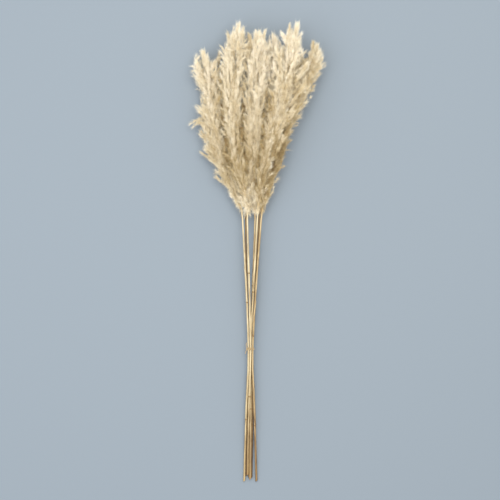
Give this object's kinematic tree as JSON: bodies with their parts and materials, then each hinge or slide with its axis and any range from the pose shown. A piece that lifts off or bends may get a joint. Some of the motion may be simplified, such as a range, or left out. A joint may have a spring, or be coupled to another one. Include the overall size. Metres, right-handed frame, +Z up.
{
  "type": "bundle of pampas grass",
  "caption": "Hand-tied bundle of tall dried pampas grass lying on its side: straight straw stems bound with natural twine, fanning into long feathery cream plumes.",
  "frame": {"origin": "on the surface that the bundle lies on, under the middle of its bounding box", "axes": "+Y along the stems from the cut ends to the tips of the plumes, +Z up from the surface, +X to the right as seen from above with the plumes at the far end"},
  "size_m": [0.319, 1.1, 0.1044],
  "materials": {
    "straw": "dry straw stem, satin rind with fine lengthwise ribs",
    "fluff": "soft matt plume of cream and tan hairs",
    "jute": "matt twisted jute twine"
  },
  "bodies": {
    "root": {"stem_far_left": "straw", "stem_left": "straw", "stem_centre_left": "straw", "stem_centre": "straw", "stem_centre_right": "straw", "stem_back_right": "straw", "stem_right": "straw", "plume_far_left": "fluff", "plume_left": "fluff", "plume_centre_left": "fluff", "plume_centre": "fluff", "plume_centre_right": "fluff", "plume_back_right": "fluff", "plume_right": "fluff", "twine_tie": "jute"}
  },
  "joints": []
}
